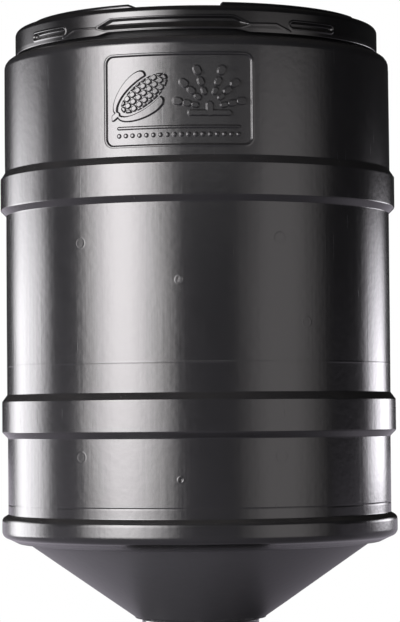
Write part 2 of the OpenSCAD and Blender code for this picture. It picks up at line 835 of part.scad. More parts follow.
module door_panel() {
    back_y = face_y - door_gap;
    difference() {
        union() {
            facing_front(back_y) linear_extrude(door_t) translate([0, door_z]) rounded_rect(door_w, door_h, 8);
            facing_front(back_y - door_t) linear_extrude(1.5) translate([-10, door_z])
                rounded_rect(door_w - 56, door_h - 24, 6);
            translate([hinge_x, hinge_y, 0]) rod(knuckle_r, knuckle_z[1], knuckle_z[2]);
            translate([hinge_x, hinge_y - 2.5, knuckle_z[1]])
                cube([8, 5, knuckle_z[2] - knuckle_z[1]]);
        }
        translate([hinge_x, hinge_y, 0]) rod(pin_r + 0.08, knuckle_z[1] - 1, knuckle_z[2] + 1);
        front_rod(latch_x, door_z, latch_r + 0.08, back_y + 1, back_y - door_t - 3);
    }
}

module door_seal_ring() {
    facing_front(face_y - GAP) linear_extrude(door_gap - GAP) translate([0, door_z]) difference() {
        rounded_rect(open_w + 25, open_h + 19, 8);
        rounded_rect(open_w + 17, open_h + 11, 5);
    }
}

module hinge_pin() {
    translate([hinge_x, hinge_y, 0]) {
        rod(pin_r, knuckle_z[0] - 1, knuckle_z[3]);
        rod(pin_r + 1.2, knuckle_z[0] - 3, knuckle_z[0]);
    }
}

module latch_knob() {
    front_y = face_y - door_gap - door_t;
    front_rod(latch_x, door_z, latch_r, cam_y + cam_t, front_y - 2);
    difference() {
        front_rod(latch_x, door_z, 11, front_y - GAP, front_y - 8);
        for (side = [-1, 1]) translate([latch_x - 12, front_y - 9, door_z + side * 7.5 - 4.5])
            cube([24, 6, 9]);
    }
}

module latch_cam() {
    difference() {
        facing_front(cam_y + cam_t) translate([0, door_z, 0]) linear_extrude(cam_t) {
            translate([latch_x, 0]) circle(7);
            translate([latch_x, -cam_w / 2]) square([cam_reach, cam_w]);
        }
        front_rod(latch_x, door_z, latch_r, cam_y + cam_t + 1, cam_y - 1);
    }
}

module control_door() { color(BLACK) door_panel(); }
module door_seal() { color("#101010") door_seal_ring(); }
module door_hinge_pin() { color(STEEL) hinge_pin(); }
module door_latch_knob() { color("#4a4d50") latch_knob(); }
module door_latch_cam() { color(STEEL) latch_cam(); }
module battery_door() { color(BLACK) rotate([0, 0, 180]) door_panel(); }
module battery_door_seal() { color("#101010") rotate([0, 0, 180]) door_seal_ring(); }
module battery_door_pin() { color(STEEL) rotate([0, 0, 180]) hinge_pin(); }
module battery_latch_knob() { color("#4a4d50") rotate([0, 0, 180]) latch_knob(); }
module battery_latch_cam() { color(STEEL) rotate([0, 0, 180]) latch_cam(); }

hopper_barrel();
lid_disc();
lid_gasket();
lid_ring();
throat_seal();
throat_collar();
collar_bolts();
collar_nuts();
unit_housing();
flange_screws();
flange_nuts();
feed_chute();
base_pan();
pan_screws();
motor_bracket();
bracket_screws();
motor_cover();
motor_can();
shaft_bush();
motor_shaft();
spinner_hub();
spinner_plate();
hub_set_screw();
plate_washer();
plate_nut();
control_panel();
panel_screws();
lcd_screen();
lcd_lens();
status_led();
timer_board();
board_screws();
button_menu();
button_minus();
button_plus();
button_test();
switch_frame();
power_rocker();
battery();
battery_terminals();
battery_tray();
tray_screws();
battery_lead_red();
battery_lead_black();
motor_lead();
wire_grommet();
charge_jack();
jack_nut();
control_door();
door_seal();
door_hinge_pin();
door_latch_knob();
door_latch_cam();
battery_door();
battery_door_seal();
battery_door_pin();
battery_latch_knob();
battery_latch_cam();
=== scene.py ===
"""Spin cast feeder: the looks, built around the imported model.

Lengths that describe a piece are in millimetres. Angles are in degrees, measured about the
barrel's axis from the front (-Y) towards the right (+X). Heights are above the spinner nut.
"""
import json
import math
import random

import bpy
import numpy as np
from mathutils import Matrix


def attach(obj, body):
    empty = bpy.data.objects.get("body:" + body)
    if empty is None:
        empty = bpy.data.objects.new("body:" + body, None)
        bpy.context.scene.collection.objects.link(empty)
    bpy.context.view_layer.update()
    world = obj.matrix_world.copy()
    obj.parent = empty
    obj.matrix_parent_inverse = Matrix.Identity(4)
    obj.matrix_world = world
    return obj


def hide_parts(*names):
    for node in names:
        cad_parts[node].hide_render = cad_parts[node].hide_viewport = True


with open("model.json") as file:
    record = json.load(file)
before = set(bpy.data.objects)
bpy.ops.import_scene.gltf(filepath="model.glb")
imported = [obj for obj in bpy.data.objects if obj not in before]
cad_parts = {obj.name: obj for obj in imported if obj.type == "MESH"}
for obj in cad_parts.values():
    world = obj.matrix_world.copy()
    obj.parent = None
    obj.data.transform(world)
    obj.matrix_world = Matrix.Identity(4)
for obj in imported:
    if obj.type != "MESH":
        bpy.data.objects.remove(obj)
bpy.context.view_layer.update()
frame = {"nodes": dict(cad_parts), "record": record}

MM = 0.001

# ---------------------------------------------------------------- sizes shared by several pieces

BAND_R = 255.4
NECK_R = 229.0
NECK_TOP = 988.0
SHOULDER = 961.0
BADGE_CENTRE = 879.4
BADGE_HALF = (93.0, 55.8)
BADGE_CORNER = 9.5
BADGE_DEPTH = 2.3
PATCH_ANGLE = 23
PATCH_TOP = 943.0
PATCH_BOTTOM = 817.6
RING_R = 240.5
RING_BOTTOM = 965.0
RING_TOP = 999.3
RING_CLOCK = -1.8

# ---------------------------------------------------------------- shader helpers


def node(tree, kind, settings=None, **inputs):
    """Adds a shader node. An input is named by its socket, or i0, i1... by its place."""
    made = tree.nodes.new("ShaderNode" + kind)
    for key, value in (settings or {}).items():
        setattr(made, key, value)
    for key, value in inputs.items():
        place = key[1:]
        socket = made.inputs[int(place)] if place.isdigit() else made.inputs[key.replace("_", " ")]
        if isinstance(value, bpy.types.NodeSocket):
            tree.links.new(value, socket)
        else:
            socket.default_value = value
    return made


def start_material(name):
    """An empty material: its tree, and its coordinates in the row frame, in metres."""
    made = bpy.data.materials.new(name)
    made.use_nodes = True
    tree = made.node_tree
    tree.nodes.clear()
    return made, tree, node(tree, "TexCoord").outputs["Object"]


def end_material(tree, surface):
    output = node(tree, "OutputMaterial")
    tree.links.new(surface, output.inputs["Surface"])


def noise(tree, place, scale, detail=2.0, roughness=0.5):
    """A soft random value from 0 to 1. scale is in features per metre."""
    made = node(tree, "TexNoise", Vector=place, Scale=scale, Detail=detail, Roughness=roughness)
    return made.outputs["Fac"]


def stretched(tree, place, scale):
    """The coordinates, multiplied along each axis."""
    return node(tree, "VectorMath", {"operation": "MULTIPLY"}, i0=place, i1=scale).outputs[0]


def remap(tree, value, low, high, new_low, new_high):
    """Stretches a value from one range to another, and holds it there."""
    made = node(tree, "MapRange", i0=value, i1=low, i2=high, i3=new_low, i4=new_high)
    return made.outputs[0]


def math_node(tree, operation, first, second=0.0):
    return node(tree, "Math", {"operation": operation}, i0=first, i1=second).outputs[0]


def total(tree, *values):
    """The values added up."""
    answer = values[0]
    for value in values[1:]:
        answer = math_node(tree, "ADD", answer, value)
    return answer


def mix_colour(tree, share, first, second):
    return node(tree, "MixRGB", Fac=share, Color1=first, Color2=second).outputs[0]


def shade(colour, factor):
    """The colour, lighter or darker by a factor."""
    return tuple(min(1.0, c * factor) for c in colour[:3]) + (1.0,)


def bump(tree, height, depth_mm, normal=None):
    """A surface normal that follows the height, laid over another normal if there is one."""
    made = node(tree, "Bump", Strength=1.0, Distance=depth_mm * MM, Height=height)
    if normal is not None:
        tree.links.new(normal, made.inputs["Normal"])
    return made.outputs[0]


# ---------------------------------------------------------------- materials


def moulded(name, colour, roughness, grain=900, grain_mm=0.03, peel_mm=0.0, scuff=0.5,
            lines=0.0, dust=0.0, coat=0.0, streak_mm=0.0, matt_below=0.0):
    """Moulded plastic or rubber: mottled colour, fine grain, orange peel, scuffs, drag lines and dust.

    With matt_below, a height in millimetres, it is paler and rougher under that height; the neck is rougher
    and carries painted shade, darker and less shiny, for the shadow under the ring.
    """
    made, tree, place = start_material(name)
    mottle = noise(tree, place, 60, 5, 0.6)
    cloud = noise(tree, place, 4, 2)
    fine = noise(tree, place, grain, 2)
    peel = noise(tree, place, 110, 2)
    scratch = noise(tree, stretched(tree, place, (260, 260, 9)), 1.0, 3, 0.7)
    scratch_mask = remap(tree, scratch, 0.66, 0.74, 0.0, 1.0)
    nick = noise(tree, stretched(tree, place, (70, 70, 160)), 1.0, 4, 0.75)
    nick_mask = remap(tree, nick, 0.70, 0.76, 0.0, scuff)
    body = mix_colour(tree, mottle, shade(colour, 0.88), shade(colour, 1.12))
    worn = mix_colour(tree, nick_mask, body, shade(colour, 2.2))
    up = node(tree, "SeparateXYZ", i0=node(tree, "NewGeometry").outputs["Normal"]).outputs[2]
    settled = math_node(tree, "MULTIPLY", remap(tree, up, 0.3, 1.0, 0.0, dust), mottle)
    dust_and_neck_shade = mix_colour(tree, settled, worn, (0.33, 0.30, 0.25, 1.0))
    rough = total(
        tree,
        remap(tree, cloud, 0.3, 0.7, roughness - 0.01, roughness + 0.01),
        remap(tree, mottle, 0.35, 0.65, -0.006, 0.008),
        math_node(tree, "MULTIPLY", scratch_mask, lines * 0.12),
        math_node(tree, "MULTIPLY", nick_mask, 0.18),
        math_node(tree, "MULTIPLY", settled, 0.5),
    )
    gloss = 0.5
    if matt_below:
        rise = node(tree, "SeparateXYZ", i0=place).outputs[2]
        matt = remap(tree, rise, (matt_below - 6) * MM, matt_below * MM, 1.0, 0.0)
        # the neck mask: rougher there, and painted shade for the shadow under the ring
        neck = remap(tree, rise, (SHOULDER - 1.5) * MM, (SHOULDER + 0.5) * MM, 0.0, 0.3)
        rough = total(tree, rough, math_node(tree, "MULTIPLY", matt, 0.20), neck)
        # a paler, mottled colour under the matt_below height
        paler_below = mix_colour(tree, mottle, shade(colour, 3.8), shade(colour, 5.2))
        # painted shade: the neck's colour is darkened where the ring's shadow falls
        dust_and_neck_shade = mix_colour(tree, math_node(tree, "MULTIPLY", neck, 3.0), dust_and_neck_shade, shade(colour, 0.35))
        dust_and_neck_shade = mix_colour(tree, matt, dust_and_neck_shade, paler_below)
        # painted shade: less shine on the neck, for the shadow under the ring
        gloss = remap(tree, rise, (SHOULDER - 1.5) * MM, (SHOULDER + 0.5) * MM, 0.5, 0.1)
    surface = bump(tree, fine, grain_mm)
    if peel_mm:
        surface = bump(tree, peel, peel_mm, surface)
    if streak_mm:
        streak = noise(tree, stretched(tree, place, (130, 130, 5)), 1.0, 3, 0.6)
        surface = bump(tree, streak, streak_mm, surface)
    if lines:
        surface = bump(tree, scratch_mask, -0.02 * lines, surface)
    plastic = node(tree, "BsdfPrincipled", Base_Color=dust_and_neck_shade, Roughness=rough, Normal=surface,
                   IOR=1.5, Specular_IOR_Level=gloss, Coat_Weight=coat, Coat_Roughness=0.08)
    end_material(tree, plastic.outputs[0])
    return made


def metal(name, colour, roughness, brush=(40, 40, 900), brush_mm=0.01, spangle=0.0, rings=False,
          tarnish=0.3):
    """Bare or plated metal: brush marks, or turning marks about the axis, spangle and tarnish."""
    made, tree, place = start_material(name)
    if rings:
        flat = stretched(tree, place, (1, 1, 0))
        radius = node(tree, "VectorMath", {"operation": "LENGTH"}, i0=flat).outputs["Value"]
        marks = noise(tree, node(tree, "CombineXYZ", i0=radius).outputs[0], 1400, 3, 0.7)
    else:
        marks = noise(tree, stretched(tree, place, brush), 1.0, 3, 0.7)
    cells = node(tree, "TexVoronoi", Vector=place, Scale=160.0).outputs["Color"]
    cell = node(tree, "SeparateXYZ", i0=cells).outputs[0]
    stain = noise(tree, place, 45, 5, 0.65)
    stain_mask = remap(tree, stain, 0.5, 0.72, 0.0, tarnish)
    bright = mix_colour(tree, marks, shade(colour, 0.8), shade(colour, 1.15))
    spangled = mix_colour(tree, math_node(tree, "MULTIPLY", cell, spangle), bright, shade(colour, 0.55))
    stained = mix_colour(tree, stain_mask, spangled, (0.30, 0.25, 0.19, 1.0))
    rough = total(
        tree,
        remap(tree, marks, 0.3, 0.7, roughness - 0.06, roughness + 0.08),
        math_node(tree, "MULTIPLY", cell, spangle * 0.2),
        math_node(tree, "MULTIPLY", stain_mask, 0.3),
    )
    steel = node(tree, "BsdfPrincipled", Base_Color=stained, Metallic=1.0, Roughness=rough,
                 Normal=bump(tree, marks, brush_mm))
    end_material(tree, steel.outputs[0])
    return made


def painted(name, colour, roughness, chip=0.4):
    """Powder-coated metal: pebbled, with bare chips."""
    made, tree, place = start_material(name)
    pebble = noise(tree, place, 420, 2)
    chips = remap(tree, noise(tree, place, 75, 6, 0.7), 0.66, 0.70, 0.0, chip)
    body = mix_colour(tree, noise(tree, place, 30, 4), shade(colour, 0.85), shade(colour, 1.2))
    coat = mix_colour(tree, chips, body, (0.25, 0.22, 0.19, 1.0))
    paint = node(tree, "BsdfPrincipled", Base_Color=coat, Metallic=math_node(tree, "MULTIPLY", chips, 0.6),
                 Roughness=remap(tree, pebble, 0.3, 0.7, roughness - 0.05, roughness + 0.08),
                 Normal=bump(tree, pebble, 0.05))
    end_material(tree, paint.outputs[0])
    return made


def lit(name, colour, strength):
    """A display's back panel, glowing a little unevenly."""
    made, tree, place = start_material(name)
    cells = noise(tree, place, 700, 2)
    body = mix_colour(tree, cells, shade(colour, 0.9), shade(colour, 1.05))
    glow = remap(tree, cells, 0.3, 0.7, strength * 0.9, strength)
    panel = node(tree, "BsdfPrincipled", Base_Color=body, Roughness=0.4, Emission_Color=body,
                 Emission_Strength=glow, Normal=bump(tree, cells, 0.004))
    end_material(tree, panel.outputs[0])
    return made


def clear(name, colour):
    """A clear window with faint haze and dust specks."""
    made, tree, place = start_material(name)
    haze = noise(tree, place, 300, 5, 0.7)
    pane = node(tree, "BsdfPrincipled", Base_Color=shade(colour, 1.0), IOR=1.45,
                Transmission_Weight=1.0, Roughness=remap(tree, haze, 0.4, 0.7, 0.01, 0.12),
                Normal=bump(tree, haze, 0.002))
    end_material(tree, pane.outputs[0])
    return made


def circuit_board(name, colour):
    """Solder resist over a grid of traces."""
    made, tree, place = start_material(name)
    traces = node(tree, "TexBrick", Vector=stretched(tree, place, (1, 0, 1)), Scale=90.0, Mortar_Size=0.03)
    lines = traces.outputs["Fac"]
    body = mix_colour(tree, lines, shade(colour, 1.0), shade(colour, 2.2))
    board = node(tree, "BsdfPrincipled", Base_Color=body, Roughness=0.3, Coat_Weight=0.4,
                 Normal=bump(tree, lines, 0.03))
    end_material(tree, board.outputs[0])
    return made


def make_materials():
    """One material for each of the record's slots."""
    look = {m["slot"]: m["base_color"] for m in frame["record"]["materials"]}
    made = {
        "hopper_plastic": moulded("hopper_plastic", shade(look["hopper_plastic"], 0.66), 0.19, 700, 0.014,
                                  peel_mm=0.13, streak_mm=0.10, scuff=0.6, lines=1.0, dust=0.04,
                                  matt_below=327),
        "lid_plastic": moulded("lid_plastic", shade(look["lid_plastic"], 0.25), 0.20, 900, 0.012,
                               peel_mm=0.03, scuff=0.6, dust=0.03),
        "throat_plastic": moulded("throat_plastic", look["throat_plastic"], 0.16, 900, 0.006,
                                  peel_mm=0.02, scuff=0.3, coat=0.4),
        "unit_plastic": moulded("unit_plastic", look["unit_plastic"], 0.42, 1300, 0.06, dust=0.12),
        "chute_plastic": moulded("chute_plastic", look["chute_plastic"], 0.34, 900, 0.02, lines=1.0),
        "panel_plastic": moulded("panel_plastic", look["panel_plastic"], 0.45, 1500, 0.05),
        "switch_black": moulded("switch_black", look["switch_black"], 0.4),
        "rocker_red": moulded("rocker_red", look["rocker_red"], 0.25, scuff=0.3),
        "battery_case": moulded("battery_case", look["battery_case"], 0.38, 1100, 0.03),
        "knob_plastic": moulded("knob_plastic", look["knob_plastic"], 0.38, 1100, 0.04, scuff=0.8),
        "seal_rubber": moulded("seal_rubber", look["seal_rubber"], 0.68, 800, 0.05, dust=0.2),
        "button_grey": moulded("button_grey", look["button_grey"], 0.6, 900, 0.04),
        "button_red": moulded("button_red", look["button_red"], 0.6, 900, 0.04),
        "wire_red": moulded("wire_red", look["wire_red"], 0.42),
        "wire_black": moulded("wire_black", look["wire_black"], 0.42),
        "led_red": moulded("led_red", look["led_red"], 0.12, scuff=0.0, coat=0.6),
        "display_panel": lit("display_panel", look["display_panel"], 0.35),
        "bracket_paint": painted("bracket_paint", look["bracket_paint"], 0.42),
        "tray_steel": painted("tray_steel", look["tray_steel"], 0.45, 0.25),
        "fastener_steel": metal("fastener_steel", look["fastener_steel"], 0.3, (500, 500, 500)),
        "spinner_steel": metal("spinner_steel", look["spinner_steel"], 0.36, (70, 500, 70), spangle=0.6),
        "motor_steel": metal("motor_steel", look["motor_steel"], 0.3, (40, 40, 700)),
        "shaft_steel": metal("shaft_steel", look["shaft_steel"], 0.22, rings=True),
        "bush_bronze": metal("bush_bronze", look["bush_bronze"], 0.4, (600, 600, 600)),
        "terminal_tin": metal("terminal_tin", look["terminal_tin"], 0.32, (500, 40, 40)),
        "jack_metal": metal("jack_metal", look["jack_metal"], 0.15, (600, 600, 600), tarnish=0.1),
        "lens_glass": clear("lens_glass", look["lens_glass"]),
        "board_green": circuit_board("board_green", look["board_green"]),
    }
    return made


MATERIALS = make_materials()

# ---------------------------------------------------------------- mesh helpers


def around(angle, radius, height):
    """Points on circles about the axis, in millimetres; the inputs broadcast together."""
    turn = np.radians(angle)
    flat = np.broadcast_arrays(radius * np.sin(turn), -radius * np.cos(turn), height)
    return np.stack(flat, axis=-1)


def grid_faces(rows, columns, close_rows=False, close_columns=False, skip=None):
    """Quads of a grid stored row by row. skip is a mask of the quads to leave out."""
    down = np.arange(rows if close_rows else rows - 1)
    along = np.arange(columns if close_columns else columns - 1)
    row, column = np.meshgrid(down, along, indexing="ij")
    below, right = (row + 1) % rows, (column + 1) % columns
    quads = np.stack([row * columns + column, below * columns + column,
                      below * columns + right, row * columns + right], axis=-1)
    return quads[~skip] if skip is not None else quads.reshape(-1, 4)


def add_piece(name, points, faces, slot, body, smooth=True):
    """A new piece from points in millimetres and lists of corners, riding on a CAD body."""
    mesh = bpy.data.meshes.new(name)
    mesh.from_pydata((np.asarray(points, float) * MM).reshape(-1, 3).tolist(), [], [list(f) for f in faces])
    mesh.update()
    if smooth:
        mesh.shade_smooth()
    mesh.materials.append(MATERIALS[slot])
    piece = bpy.data.objects.new(name, mesh)
    bpy.context.scene.collection.objects.link(piece)
    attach(piece, body)
    return piece


def filleted(corners, steps=6, support=1.5, longest=12.0):
    """A profile through (radius, height, fillet) corners, with arcs and a close point beside each arc."""
    count = len(corners)
    spots = [np.array(c[:2], float) for c in corners]
    path = []
    for i, here in enumerate(spots):
        fillet = corners[i][2]
        before, after = spots[i - 1] - here, spots[(i + 1) % count] - here
        before, after = before / np.linalg.norm(before), after / np.linalg.norm(after)
        half = 0.5 * math.acos(float(np.clip(before @ after, -1, 1)))
        if fillet <= 0:
            path.append(here)
            continue
        reach = fillet / math.tan(half)
        middle = before + after
        centre = here + middle / np.linalg.norm(middle) * fillet / math.sin(half)
        first, last = here + before * reach - centre, here + after * reach - centre
        path.append(centre + first + before * support)
        for share in np.linspace(0, 1, steps + 1):
            spoke = first * (1 - share) + last * share
            path.append(centre + spoke / np.linalg.norm(spoke) * fillet)
        path.append(centre + last + after * support)
    full = []
    for i, here in enumerate(path):
        there = path[(i + 1) % len(path)]
        pieces = max(1, math.ceil(np.linalg.norm(there - here) / longest))
        full += [here + (there - here) * k / pieces for k in range(pieces)]
    return np.array(full)


def smooth_step(low, high, value):
    t = np.clip((value - low) / (high - low), 0, 1)
    return t * t * (3 - 2 * t)


# Signed distances, in millimetres, that are positive inside a flat shape


def in_rounded_box(x, y, half_w, half_h, corner):
    across, up = np.abs(x) - half_w + corner, np.abs(y) - half_h + corner
    outside = np.hypot(np.maximum(across, 0), np.maximum(up, 0))
    return corner - outside - np.minimum(np.maximum(across, up), 0)


def in_capsule(x, y, start, end, radius):
    along = np.array(end, float) - np.array(start, float)
    share = ((x - start[0]) * along[0] + (y - start[1]) * along[1]) / max(along @ along, 1e-9)
    share = np.clip(share, 0, 1)
    return radius - np.hypot(x - start[0] - share * along[0], y - start[1] - share * along[1])


def in_disc(x, y, cx, cy, radius):
    return radius - np.hypot(x - cx, y - cy)


def in_ellipse(x, y, cx, cy, long_r, short_r, tilt):
    """Close to a true distance near the edge, which is where it is used."""
    c, s = math.cos(math.radians(tilt)), math.sin(math.radians(tilt))
    u, v = (x - cx) * c + (y - cy) * s, -(x - cx) * s + (y - cy) * c
    return (1 - np.hypot(u / long_r, v / short_r)) * short_r


# ---------------------------------------------------------------- the hopper

WAVES = [(2, 0.011, 0.10), (5, 0.019, 0.07), (9, 0.031, 0.05), (14, 0.013, 0.035), (21, 0.047, 0.02)]


def wobble(angle, height):
    """The slight unevenness of a blow-moulded wall, in millimetres."""
    draw = random.Random(11)
    answer = 0.0
    for turns, rise, depth in WAVES:
        phase = draw.uniform(0, 2 * math.pi)
        answer = answer + depth * np.sin(turns * np.radians(angle) + rise * height + phase)
    return answer


DIMPLE_HEIGHT = 409.3
DIMPLE_HALF = (2, 9.0)
DIMPLE_ANGLES = (0, 120, 240)
MID_BAND_R = 253.9
LOW_BAND_R = 253.2


def fine_line(wall_r, height, rise, support, foot, top):
    """Profile corners of a narrow line that is raised from the wall, or sunk if rise is below 0."""
    steps = [(support, 0.0), (foot, 0.0), (top, rise), (-top, rise), (-foot, 0.0), (-support, 0.0)]
    return [(wall_r + out, height + up, 0) for up, out in steps]


HOPPER_OUTSIDE = [
    (NECK_R, NECK_TOP, 0.8), (NECK_R, SHOULDER, 2), (BAND_R, SHOULDER, 13),
    (BAND_R, PATCH_TOP, 0), (BAND_R, PATCH_BOTTOM, 0),
    (BAND_R, 810.2, 2.5), (261.4, 801.2, 2.5), (261.4, 761.0, 2.5), (MID_BAND_R, 753.4, 1.6),
    *fine_line(MID_BAND_R, 554.6, 0.15, 2.2, 1.0, 0.4),
    (MID_BAND_R, 517.2, 2.0), (260.6, 508.2, 2.5), (260.6, 467.8, 2.5), (LOW_BAND_R, 460.2, 1.6),
    (LOW_BAND_R, DIMPLE_HEIGHT + DIMPLE_HALF[1], 0), (LOW_BAND_R, DIMPLE_HEIGHT - DIMPLE_HALF[1], 0),
    *fine_line(LOW_BAND_R, 373.25, -0.25, 1.95, 0.75, 0.25),
    (LOW_BAND_R, 359.8, 1.5), (261.3, 355.0, 7), (261.3, 331.5, 10), (251.5, 327.6, 5),
    (240.0, 322.0, 3), (225.0, 320.2, 0.8), (87.5, 224.4, 1.0), (85.8, 222.0, 1.0), (72.3, 222.0, 0.3),
    (72.0, 180.0, 1),
]
HOPPER_INSIDE = [
    (68.0, 180.0, 1), (68.0, 227.0, 4), (96.0, 237.0, 8), (222.0, 325.8, 8), (257.3, 336.0, 9),
    (257.3, 351.0, 4), (249.2, 356.0, 3), (249.2, 462.0, 4), (256.6, 471.0, 4), (256.6, 507.0, 4),
    (249.9, 516.0, 4), (249.9, 757.0, 4), (257.4, 765.5, 4), (257.4, 800.5, 4), (251.4, 810.0, 4),
    (251.4, SHOULDER - 4, 9), (225.0, SHOULDER - 4, 2), (225.0, NECK_TOP, 0.8),
]


def wall_gap(profile, angles, centre, half_angle, top, bottom):
    """Which of the shell's quads lie in a window of the wall."""
    next_row = np.roll(profile, -1, axis=0)
    in_rows = ((profile[:, 0] > 250) & (profile[:, 0] < 257) & (next_row[:, 1] < profile[:, 1])
               & (profile[:, 1] <= top + 0.01) & (next_row[:, 1] >= bottom - 0.01))
    offset = (angles - centre + 180) % 360 - 180
    in_columns = (offset >= -half_angle) & (offset < half_angle)
    return in_rows[:, None] & in_columns[None, :]


def build_hopper():
    """The barrel, neck, hoops, bead, funnel and spout: one closed wall with gaps for the fine patches."""
    profile = filleted(HOPPER_OUTSIDE + HOPPER_INSIDE, support=1.2)
    angles = np.arange(-180, 180, 1.0)
    radius, height = profile[:, :1], profile[:, 1:]
    points = around(angles[None, :], radius + wobble(angles[None, :], height), height)
    gaps = wall_gap(profile, angles, 0, PATCH_ANGLE, PATCH_TOP, PATCH_BOTTOM)
    for centre in DIMPLE_ANGLES:
        gaps |= wall_gap(profile, angles, centre, DIMPLE_HALF[0], DIMPLE_HEIGHT + DIMPLE_HALF[1],
                         DIMPLE_HEIGHT - DIMPLE_HALF[1])
    faces = grid_faces(len(profile), len(angles), True, True, gaps)
    shell = add_piece("hopper_shell", points, faces, "hopper_plastic", "hopper")
    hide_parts("hopper_barrel")


def wall_patch(centre, half_angle, top, bottom, wall_r, columns, rows, relief):
    """Points and quads of a fine patch that fills one of the shell's gaps exactly."""
    angle, height = np.meshgrid(centre + np.linspace(-half_angle, half_angle, columns),
                                np.linspace(top, bottom, rows))
    lift = relief(np.radians(angle - centre) * wall_r, height)
    points = around(angle, wall_r + wobble(angle, height) + lift, height)
    return points.reshape(-1, 3), grid_faces(rows, columns)


def corn_ear(x, y):
    """A tilted ear of corn: rows of kernels inside an ellipse, two husk leaves and a stem."""
    cx, cy, tilt = -43.0, 9.0, 36.0
    c, s = math.cos(math.radians(tilt)), math.sin(math.radians(tilt))
    u, v = (x - cx) * c + (y - cy) * s, -(x - cx) * s + (y - cy) * c
    ear = in_ellipse(u, v, 0, 0, 37.0, 15.0, 0)
    pitch_u, pitch_v = 8.6, 7.6
    row = np.round(v / pitch_v)
    step = (u + (row % 2) * pitch_u / 2 + pitch_u / 2) % pitch_u - pitch_u / 2
    kernel = in_rounded_box(step, v - row * pitch_v, 3.7, 3.3, 2.6)
    shape = np.minimum(kernel, ear - 0.5)
    for side in (-1, 1):
        leaf = in_ellipse(u, v, -15, side * 12.5, 32.0, 13.0, side * 17)
        shape = np.maximum(shape, np.minimum(leaf, -ear - 2.0))
    return np.maximum(shape, in_capsule(u, v, (-44, 0), (-51, 0), 3.6))


def thrown_grain(x, y):
    """Big kernels that fly up and out from a spinner, which hangs under its motor."""
    hub_x, hub_y = 40.0, -17.0
    plate = in_capsule(x, y, (hub_x - 24, hub_y), (hub_x + 24, hub_y), 3.6)
    shape = np.maximum(plate, in_capsule(x, y, (hub_x, hub_y), (hub_x, hub_y + 10), 4.4))
    for side in (-1, 1):
        for angle in (10, 38, 68):
            rise, run = math.sin(math.radians(angle)), side * math.cos(math.radians(angle))
            for size, distance in ((3.4, 21), (4.1, 34), (4.8, 49)):
                start = (hub_x + distance * 0.8 * run, hub_y + 6 + distance * rise)
                end = (start[0] + 3.4 * run, start[1] + 3.4 * rise)
                shape = np.maximum(shape, in_capsule(x, y, start, end, size))
    return shape


def badge_relief(x, height):
    """Height of the badge's surface over the band, in millimetres, with plain pictures and no lettering."""
    y = height - BADGE_CENTRE
    panel = in_rounded_box(x, y, BADGE_HALF[0], BADGE_HALF[1], BADGE_CORNER)
    floor = -BADGE_DEPTH * smooth_step(-0.2, 0.9, panel)
    brim = 0.4 * np.exp(-((panel + 1.6) / 1.0) ** 2)
    pictures = np.minimum(np.maximum(corn_ear(x, y), thrown_grain(x, y)), panel - 7)
    raised = 2.5 * smooth_step(-0.3, 0.7, pictures)
    border = in_capsule(x, y, (-77, -34), (77, -34), 1.7)
    for i in range(18):
        border = np.maximum(border, in_disc(x, y, -76.5 + 9 * i, -43.5, 2.5))
    return floor + brim + raised + 1.5 * smooth_step(-0.5, 0.9, border)


def build_badge():
    """The moulded badge on the upper band."""
    points, faces = wall_patch(0, PATCH_ANGLE, PATCH_TOP, PATCH_BOTTOM, BAND_R, 461, 301, badge_relief)
    add_piece("hopper_badge", points, faces, "hopper_plastic", "hopper")


def dimple_relief(x, height):
    """A drilled cone with a slightly raised lip."""
    away = np.hypot(x, height - DIMPLE_HEIGHT)
    return -1.5 * smooth_step(3.0, 0.3, away) + 0.25 * np.exp(-((away - 3.6) / 0.6) ** 2)


def build_dimples():
    """The drill points for leg brackets, on the lower band."""
    parts = [wall_patch(centre, DIMPLE_HALF[0], DIMPLE_HEIGHT + DIMPLE_HALF[1],
                        DIMPLE_HEIGHT - DIMPLE_HALF[1], LOW_BAND_R, 53, 53, dimple_relief)
             for centre in DIMPLE_ANGLES]
    points, faces = join_parts(parts)
    add_piece("drill_dimples", points, faces, "hopper_plastic", "hopper")


def spot_mark(centre_angle, centre_height, wall_r, size, rim, crumb):
    """Points and quads of a round moulding mark: a low rim about a disc, which may be crumbly."""
    rings = np.linspace(0, 1.25, 21)
    turns = np.linspace(0, 360, 60, endpoint=False)
    share, turn = np.meshgrid(rings, turns, indexing="ij")
    x = share * size / 2 * np.cos(np.radians(turn))
    y = share * size / 2 * np.sin(np.radians(turn))
    lumps = np.sin(3.1 * x + 1.3 * np.sin(2.3 * y)) * np.sin(2.7 * y + 1.7 * np.sin(1.9 * x) + 0.8)
    lift = rim * np.exp(-((share - 0.95) / 0.12) ** 2) + crumb * lumps * smooth_step(0.98, 0.85, share)
    lift = lift + crumb + 0.04 - (0.10 + crumb) * smooth_step(1.0, 1.25, share)
    angle = centre_angle + np.degrees(x / wall_r)
    height = centre_height + y
    points = around(angle, wall_r + wobble(angle, height) + lift, height)
    return points.reshape(-1, 3), grid_faces(len(rings), len(turns), close_columns=True)


def join_parts(parts):
    """One list of points and one of faces, from several."""
    points, faces, offset = [], [], 0
    for spots, quads in parts:
        points.append(spots)
        faces.append(quads + offset)
        offset += len(spots)
    return np.concatenate(points), np.concatenate(faces)


def build_marks():
    """Vent marks, and the crumbly gate marks."""
    upper, lower = MID_BAND_R, LOW_BAND_R
    vents = [(-30.2, 705, upper, 14), (29, 708, upper, 14), (-30.3, 437, lower, 14), (29, 437, lower, 14),
             (37.5, 604, upper, 13), (151, 708, upper, 14), (-151, 708, upper, 14),
             (151, 437, lower, 14), (-151, 437, lower, 14)]
    parts = [spot_mark(*vent, 0.10, 0.0) for vent in vents]
    parts += [spot_mark(angle, 656, upper, 10.5, 0.03, 0.11) for angle in (0, 180)]
    points, faces = join_parts(parts)
    add_piece("mould_marks", points, faces, "hopper_plastic", "hopper")


